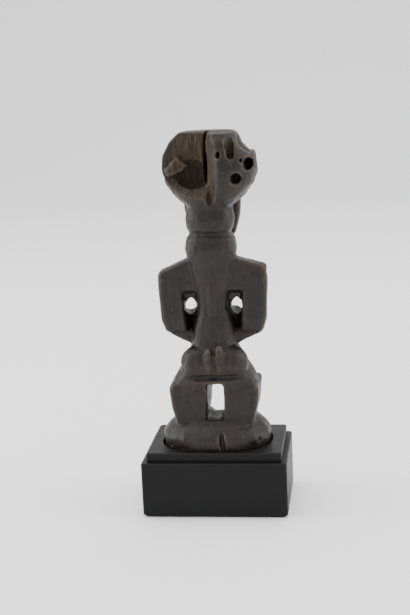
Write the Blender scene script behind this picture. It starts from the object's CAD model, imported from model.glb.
# A dark carved wooden figure on a black stepped plinth, seen from behind. Metres, +Z up.
import math

import bmesh
import bpy
import numpy as np
from mathutils import Matrix, Vector, noise


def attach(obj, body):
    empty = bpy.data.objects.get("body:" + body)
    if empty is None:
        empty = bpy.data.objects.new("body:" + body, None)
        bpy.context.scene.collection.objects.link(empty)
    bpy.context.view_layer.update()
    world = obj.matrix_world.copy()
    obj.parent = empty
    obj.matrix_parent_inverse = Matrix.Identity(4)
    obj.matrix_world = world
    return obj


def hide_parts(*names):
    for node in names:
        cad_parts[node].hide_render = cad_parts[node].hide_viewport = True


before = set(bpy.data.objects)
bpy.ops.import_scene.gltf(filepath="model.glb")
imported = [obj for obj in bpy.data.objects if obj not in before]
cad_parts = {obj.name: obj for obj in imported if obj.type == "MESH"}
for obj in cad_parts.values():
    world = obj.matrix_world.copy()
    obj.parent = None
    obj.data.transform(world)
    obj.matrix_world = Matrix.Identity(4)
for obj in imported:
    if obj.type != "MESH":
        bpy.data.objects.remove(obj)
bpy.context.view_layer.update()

MM = 0.001

# The figure's even mesh, and the rounds of averaging that ease its edges
VOXEL = 0.62 * MM
EASING_ROUNDS = 3
BEND_ROUNDS = 4

# Camera, fitted to the plinth's corners: place in metres, angles in radians, lens in millimetres
CAMERA_PLACE = Vector((-0.0769, 0.6226, 0.2439))
CAMERA_YAW = 0.12922
CAMERA_PITCH = 0.21787
CAMERA_ROLL = -0.043905
CAMERA_LENS = 72.8
CAMERA_SENSOR = 36.0

# The head's outline before it broke: height, half width and half depth, in millimetres
HEAD_PROFILE = (
    (158.0, 11.8, 11.4),
    (163.0, 17.6, 14.4),
    (169.4, 22.4, 16.8),
    (177.0, 24.6, 17.8),
    (184.0, 23.6, 17.4),
    (190.6, 19.6, 16.0),
    (195.3, 14.2, 13.0),
)
HEAD_MIDDLE = (-1.2, -0.5)
HEAD_POWER = 2.4

# Where the torn wood fades in: up from the neck, back from the face and in from the lost skin
TORN_FROM_HEIGHT = (159.0, 163.0)
TORN_FROM_DEPTH = (-6.0, 0.0)
TORN_INSIDE = (0.84, 0.95)

# How far a point stands proud of its neighbours, in millimetres, to count as worn or as hollow
BEND_RANGE = (0.012, 0.06)

# Relief wavelengths along X, Y and Z and heights, in millimetres
CUT_SIZE = (5.0, 5.0, 8.5)
CUT_HEIGHT = 0.38
WAVE_SIZE = (7.0, 7.0, 12.0)
WAVE_HEIGHT = 0.22
TORN_WAVE_HEIGHT = 0.3
GRAIN_SIZE = (1.5, 1.5, 16.0)
GRAIN_HEIGHT = 0.07
SPLINTER_SIZE = (1.3, 1.3, 9.0)
SPLINTER_HEIGHT = 0.75
DENT_SIZE = (3.2, 3.2, 3.2)
DENT_DEPTH = 0.35
DENT_RANGE = (0.32, 0.6)

# The sole and the flat top keep close to the solid
SOLE_TOP = 31.5
CROWN_BOTTOM = 194.0
RELIEF_LEFT_AT_ENDS = 0.2

# The pale sweep, in metres
SWEEP_HALF_WIDTH = 3.0
SWEEP_FRONT = 2.5
SWEEP_BACK = -1.2
SWEEP_BEND = 0.8
SWEEP_HEIGHT = 3.0
SWEEP_STEPS = 12

# Soft lights: place and size in metres, power in watts
LIGHT_AIM = (0.0, 0.0, 0.1)
LIGHTS = {
    "top": {"place": (0.1, -0.25, 1.3), "size": (1.4, 1.0), "power": 18.0},
    "left": {"place": (1.1, 0.1, 0.5), "size": (0.7, 0.9), "power": 9.0},
    "right": {"place": (-1.1, 0.0, 0.6), "size": (0.6, 0.9), "power": 7.0},
}
WORLD_STRENGTH = 1.25

# Colours, in linear light
PATINA_DARK = (0.006, 0.004, 0.003)
PATINA_LIGHT = (0.021, 0.014, 0.009)
STREAK_DARK = (0.35, 0.33, 0.32)
STREAK_LIGHT = (1.0, 1.0, 1.0)
TORN_DARK = (0.012, 0.008, 0.005)
TORN_MIDDLE = (0.038, 0.026, 0.017)
TORN_LIGHT = (0.09, 0.066, 0.046)
WORN_EDGE = (0.085, 0.055, 0.033)
HOLLOW_DIRT = (0.008, 0.006, 0.005)
PAINT_DARK = (0.0035, 0.0035, 0.004)
PAINT_LIGHT = (0.006, 0.006, 0.0065)
PAPER = (0.90, 0.90, 0.903)

# How much of the streaks, of the worn edges and of the dirt shows
STREAK_SHARE = 0.75
WORN_SHARE = 0.55
DIRT_SHARE = 0.75


def vectors_of(items, key):
    """One three-part value from each item of a mesh, as rows."""
    flat = np.empty(len(items) * 3, dtype=np.float64)
    items.foreach_get(key, flat)
    return flat.reshape(-1, 3)


def move_points(mesh, points_mm):
    mesh.vertices.foreach_set("co", (points_mm * MM).ravel())
    mesh.update()


def mesh_edges(mesh):
    flat = np.empty(len(mesh.edges) * 2, dtype=np.int64)
    mesh.edges.foreach_get("vertices", flat)
    return flat.reshape(-1, 2)


def neighbour_mean(values, edges):
    """Average of each vertex's neighbours."""
    total = np.zeros_like(values)
    count = np.zeros(len(values))
    for a, b in ((0, 1), (1, 0)):
        np.add.at(total, edges[:, a], values[edges[:, b]])
        np.add.at(count, edges[:, a], 1.0)
    shape = (-1,) + (1,) * (values.ndim - 1)
    return total / np.maximum(count, 1.0).reshape(shape)


def spread(values, edges, rounds):
    """Each round moves every value half way to its neighbours' average."""
    for _ in range(rounds):
        values = 0.5 * values + 0.5 * neighbour_mean(values, edges)
    return values


def smooth_step(low, high, value):
    t = np.clip((value - low) / (high - low), 0.0, 1.0)
    return t * t * (3.0 - 2.0 * t)


def noise_field(points_mm, size, seed, octaves=1):
    """Smooth noise at each point, with a wavelength in millimetres along each axis."""
    scaled = points_mm / np.array(size) + seed
    out = np.zeros(len(scaled))
    for octave in range(octaves):
        step = 2.0 ** octave
        out += np.array([noise.noise(Vector(p * step)) for p in scaled]) / step
    return out


def cell_field(points_mm, size, seed):
    """Distance to the nearest cell centre, for knife cuts that meet in soft ridges."""
    scaled = points_mm / np.array(size) + seed
    return np.array([noise.voronoi(Vector(p))[0][0] for p in scaled])


def inside_head(points_mm):
    """How deep a point lies in the unbroken head: 1 is on its skin and 0 is on its axis."""
    heights, widths, depths = (np.array(column) for column in zip(*HEAD_PROFILE))
    half_width = np.interp(points_mm[:, 2], heights, widths)
    half_depth = np.interp(points_mm[:, 2], heights, depths)
    across = np.abs((points_mm[:, 0] - HEAD_MIDDLE[0]) / half_width) ** HEAD_POWER
    along = np.abs((points_mm[:, 1] - HEAD_MIDDLE[1]) / half_depth) ** HEAD_POWER
    return (across + along) ** (1.0 / HEAD_POWER)


def torn_wood(points_mm):
    """The torn part of the head: behind, and inside the lost skin."""
    on_head = smooth_step(*TORN_FROM_HEIGHT, points_mm[:, 2])
    behind = smooth_step(*TORN_FROM_DEPTH, points_mm[:, 1])
    return on_head * behind * (1.0 - smooth_step(*TORN_INSIDE, inside_head(points_mm)))


def remeshed_copy(node, name):
    """A separate object with the node's shape in an even mesh."""
    source = bpy.data.objects[node]
    mesh = source.data.copy()
    mesh.materials.clear()
    piece = bpy.data.objects.new(name, mesh)
    bpy.context.scene.collection.objects.link(piece)
    piece.matrix_world = source.matrix_world.copy()
    remesh = piece.modifiers.new("even surface", "REMESH")
    remesh.mode = "VOXEL"
    remesh.voxel_size = VOXEL
    settled = piece.evaluated_get(bpy.context.evaluated_depsgraph_get())
    even = bpy.data.meshes.new_from_object(settled)
    piece.modifiers.clear()
    piece.data = even
    return piece


def store_colour(mesh, name, red, green, blue):
    layer = mesh.color_attributes.new(name, "FLOAT_COLOR", "POINT")
    values = np.ones((len(mesh.vertices), 4))
    values[:, 0] = red
    values[:, 1] = green
    values[:, 2] = blue
    layer.data.foreach_set("color", values.ravel())


def relief_height(points, torn):
    """Height of the carving over the eased solid: cuts and dents on the patina, splinters in the break."""
    cuts = cell_field(points, CUT_SIZE, 3.7) - 0.5
    waves = noise_field(points, WAVE_SIZE, 11.3, 2)
    grain = noise_field(points, GRAIN_SIZE, 5.1, 2)
    splinters = noise_field(points, SPLINTER_SIZE, 23.9, 2)
    dents = smooth_step(*DENT_RANGE, noise_field(points, DENT_SIZE, 41.7))
    polished = 1.0 - torn
    relief = polished * (CUT_HEIGHT * cuts + WAVE_HEIGHT * waves + GRAIN_HEIGHT * grain)
    relief += torn * (SPLINTER_HEIGHT * splinters + TORN_WAVE_HEIGHT * waves)
    relief -= DENT_DEPTH * polished * dents
    at_ends = (points[:, 2] < SOLE_TOP) | (points[:, 2] > CROWN_BOTTOM)
    relief[at_ends] *= RELIEF_LEFT_AT_ENDS
    return relief


def carve_figure(piece):
    """Eases the solid's edges, adds the relief, and stores how worn, torn or hollow each point is."""
    mesh = piece.data
    edges = mesh_edges(mesh)
    points = vectors_of(mesh.vertices, "co") / MM
    torn = torn_wood(points)
    points = spread(points, edges, EASING_ROUNDS)
    move_points(mesh, points)
    normals = vectors_of(mesh.vertex_normals, "vector")

    bend = np.sum((points - neighbour_mean(points, edges)) * normals, axis=1)
    bend = spread(bend, edges, BEND_ROUNDS)
    worn = smooth_step(*BEND_RANGE, bend)
    hollow = smooth_step(*BEND_RANGE, -bend)

    move_points(mesh, points + normals * relief_height(points, torn)[:, None])
    for polygon in mesh.polygons:
        polygon.use_smooth = True
    store_colour(mesh, "carving", worn, torn, hollow)


def material(name):
    """A new material with an empty node tree."""
    made = bpy.data.materials.new(name)
    made.use_nodes = True
    made.node_tree.nodes.clear()
    return made, made.node_tree


def add(tree, kind, **settings):
    node = tree.nodes.new(kind)
    for key, value in settings.items():
        setattr(node, key, value)
    return node


def grey(value):
    return (value, value, value)


def ramp(tree, source, *stops):
    """Colour by the source's value: each stop is a place from 0 to 1 and its colour."""
    node = add(tree, "ShaderNodeValToRGB")
    elements = node.color_ramp.elements
    while len(elements) < len(stops):
        elements.new(0.5)
    for element, (place, colour) in zip(elements, stops):
        element.position = place
        element.color = (*colour, 1.0)
    tree.links.new(source, node.inputs["Fac"])
    return node.outputs["Color"]


def mix_colour(tree, factor, first, second, blend="MIX"):
    """A colour mix. Its colour sockets are found by number, because float ones share their names."""
    node = add(tree, "ShaderNodeMix", data_type="RGBA", blend_type=blend)
    sockets = (node.inputs[0], node.inputs[6], node.inputs[7])
    for socket, value in zip(sockets, (factor, first, second)):
        if isinstance(value, bpy.types.NodeSocket):
            tree.links.new(value, socket)
        elif isinstance(value, tuple):
            socket.default_value = (*value, 1.0)
        else:
            socket.default_value = value
    return node.outputs[2]


def share_of(tree, source, share):
    node = add(tree, "ShaderNodeMath", operation="MULTIPLY")
    tree.links.new(source, node.inputs[0])
    node.inputs[1].default_value = share
    return node.outputs[0]


def stretched_noise(tree, scale, detail, stretch):
    place = add(tree, "ShaderNodeTexCoord")
    mapping = add(tree, "ShaderNodeMapping")
    mapping.inputs["Scale"].default_value = stretch
    texture = add(tree, "ShaderNodeTexNoise")
    texture.inputs["Scale"].default_value = scale
    texture.inputs["Detail"].default_value = detail
    tree.links.new(place.outputs["Object"], mapping.inputs["Vector"])
    tree.links.new(mapping.outputs["Vector"], texture.inputs["Vector"])
    return texture.outputs["Fac"]


def finish_shader(tree, colour, gloss, specular):
    """A plain surface shader with a linked colour and roughness."""
    shader = add(tree, "ShaderNodeBsdfPrincipled")
    shader.inputs["Specular IOR Level"].default_value = specular
    tree.links.new(colour, shader.inputs["Base Color"])
    tree.links.new(gloss, shader.inputs["Roughness"])
    out = add(tree, "ShaderNodeOutputMaterial")
    tree.links.new(shader.outputs["BSDF"], out.inputs["Surface"])
    return shader


def add_bump(tree, shader, height, strength, distance):
    bump = add(tree, "ShaderNodeBump")
    bump.inputs["Strength"].default_value = strength
    bump.inputs["Distance"].default_value = distance
    tree.links.new(height, bump.inputs["Height"])
    tree.links.new(bump.outputs["Normal"], shader.inputs["Normal"])


def carved_wood():
    """Dark waxed wood, worn lighter on its edges, with raw torn grain in the break."""
    made, tree = material("carved_wood")
    marks = add(tree, "ShaderNodeAttribute", attribute_name="carving")
    split = add(tree, "ShaderNodeSeparateColor")
    tree.links.new(marks.outputs["Color"], split.inputs["Color"])
    worn, torn, hollow = (split.outputs[i] for i in range(3))

    blotches = stretched_noise(tree, 70.0, 6.0, (1.0, 1.0, 0.7))
    grain = stretched_noise(tree, 900.0, 8.0, (1.0, 1.0, 0.06))
    fibres = stretched_noise(tree, 1500.0, 6.0, (1.0, 1.0, 0.04))

    patina = ramp(tree, blotches, (0.3, PATINA_DARK), (0.7, PATINA_LIGHT))
    streaks = ramp(tree, grain, (0.35, STREAK_DARK), (0.65, STREAK_LIGHT))
    patina = mix_colour(tree, STREAK_SHARE, patina, streaks, "MULTIPLY")
    raw_grain = ramp(tree, fibres, (0.3, TORN_DARK), (0.55, TORN_MIDDLE), (0.75, TORN_LIGHT))
    colour = mix_colour(tree, torn, patina, raw_grain)
    colour = mix_colour(tree, share_of(tree, worn, WORN_SHARE), colour, WORN_EDGE)
    colour = mix_colour(tree, share_of(tree, hollow, DIRT_SHARE), colour, HOLLOW_DIRT)

    waxed = ramp(tree, blotches, (0.3, grey(0.36)), (0.7, grey(0.58)))
    gloss = mix_colour(tree, torn, waxed, grey(0.85))
    shader = finish_shader(tree, colour, gloss, 0.32)
    add_bump(tree, shader, grain, 0.5, 0.4 * MM)
    return made


def black_paint():
    """Satin black paint over wood, with faint unevenness."""
    made, tree = material("black_paint")
    cloud = stretched_noise(tree, 40.0, 5.0, (1.0, 1.0, 1.0))
    fine = stretched_noise(tree, 1400.0, 4.0, (0.12, 1.0, 1.0))
    colour = ramp(tree, cloud, (0.3, PAINT_DARK), (0.7, PAINT_LIGHT))
    gloss = ramp(tree, cloud, (0.3, grey(0.42)), (0.7, grey(0.52)))
    shader = finish_shader(tree, colour, gloss, 0.16)
    add_bump(tree, shader, fine, 0.15, 0.1 * MM)
    return made


def pale_paper():
    made, tree = material("pale_paper")
    shader = add(tree, "ShaderNodeBsdfPrincipled")
    shader.inputs["Base Color"].default_value = (*PAPER, 1.0)
    shader.inputs["Roughness"].default_value = 0.9
    out = add(tree, "ShaderNodeOutputMaterial")
    tree.links.new(shader.outputs["BSDF"], out.inputs["Surface"])
    return made


def make_figure():
    piece = remeshed_copy("figure", "carved_figure")
    carve_figure(piece)
    piece.data.materials.append(carved_wood())
    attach(piece, "root")
    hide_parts("figure")


def make_plinth():
    """The plinth's own solid stays, and only its material changes."""
    plinth = bpy.data.objects["plinth"]
    paint = black_paint()
    for slot in plinth.material_slots:
        slot.link = "OBJECT"
        slot.material = paint


def make_floor():
    """A pale sweep: level under the object, curving up far behind it."""
    profile = [(SWEEP_FRONT, 0.0), (SWEEP_BACK, 0.0)]
    for i in range(1, SWEEP_STEPS + 1):
        angle = i / SWEEP_STEPS * math.pi / 2
        back = SWEEP_BACK - SWEEP_BEND * math.sin(angle)
        rise = SWEEP_BEND * (1 - math.cos(angle))
        profile.append((back, rise))
    profile.append((SWEEP_BACK - SWEEP_BEND, SWEEP_HEIGHT))
    form = bmesh.new()
    rows = []
    for y, z in profile:
        rows.append([form.verts.new((x, y, z)) for x in (-SWEEP_HALF_WIDTH, SWEEP_HALF_WIDTH)])
    for lower, upper in zip(rows, rows[1:]):
        form.faces.new((lower[0], lower[1], upper[1], upper[0]))
    mesh = bpy.data.meshes.new("floor")
    form.to_mesh(mesh)
    form.free()
    for polygon in mesh.polygons:
        polygon.use_smooth = True
    floor = bpy.data.objects.new("floor", mesh)
    floor.data.materials.append(pale_paper())
    bpy.context.scene.collection.objects.link(floor)


def area_light(name, place, size, power):
    data = bpy.data.lights.new(name, "AREA")
    data.shape = "RECTANGLE"
    data.size, data.size_y = size
    data.energy = power
    light = bpy.data.objects.new(name, data)
    light.location = place
    direction = Vector(LIGHT_AIM) - Vector(place)
    light.rotation_euler = direction.to_track_quat("-Z", "Y").to_euler()
    bpy.context.scene.collection.objects.link(light)


def make_lights():
    for name, light in LIGHTS.items():
        area_light(name, **light)
    world = bpy.data.worlds.new("studio")
    world.use_nodes = True
    background = world.node_tree.nodes["Background"]
    background.inputs["Color"].default_value = (1.0, 1.0, 1.0, 1.0)
    background.inputs["Strength"].default_value = WORLD_STRENGTH
    bpy.context.scene.world = world


def make_camera():
    """A camera behind the figure, turned, tipped down and rolled as the photo shows."""
    cy, sy = math.cos(CAMERA_YAW), math.sin(CAMERA_YAW)
    cp, sp = math.cos(CAMERA_PITCH), math.sin(CAMERA_PITCH)
    forward = Vector((sy * cp, -cy * cp, -sp))
    right = Vector((-cy, -sy, 0.0))
    up = right.cross(forward)
    cr, sr = math.cos(CAMERA_ROLL), math.sin(CAMERA_ROLL)
    tilted_right = cr * right + sr * up
    tilted_up = -sr * right + cr * up
    data = bpy.data.cameras.new("camera")
    data.lens = CAMERA_LENS
    data.sensor_width = CAMERA_SENSOR
    camera = bpy.data.objects.new("camera", data)
    turn = Matrix((tilted_right, tilted_up, -forward)).transposed()
    camera.matrix_world = Matrix.Translation(CAMERA_PLACE) @ turn.to_4x4()
    bpy.context.scene.collection.objects.link(camera)
    bpy.context.scene.camera = camera


make_camera()
make_figure()
make_plinth()
make_floor()
make_lights()
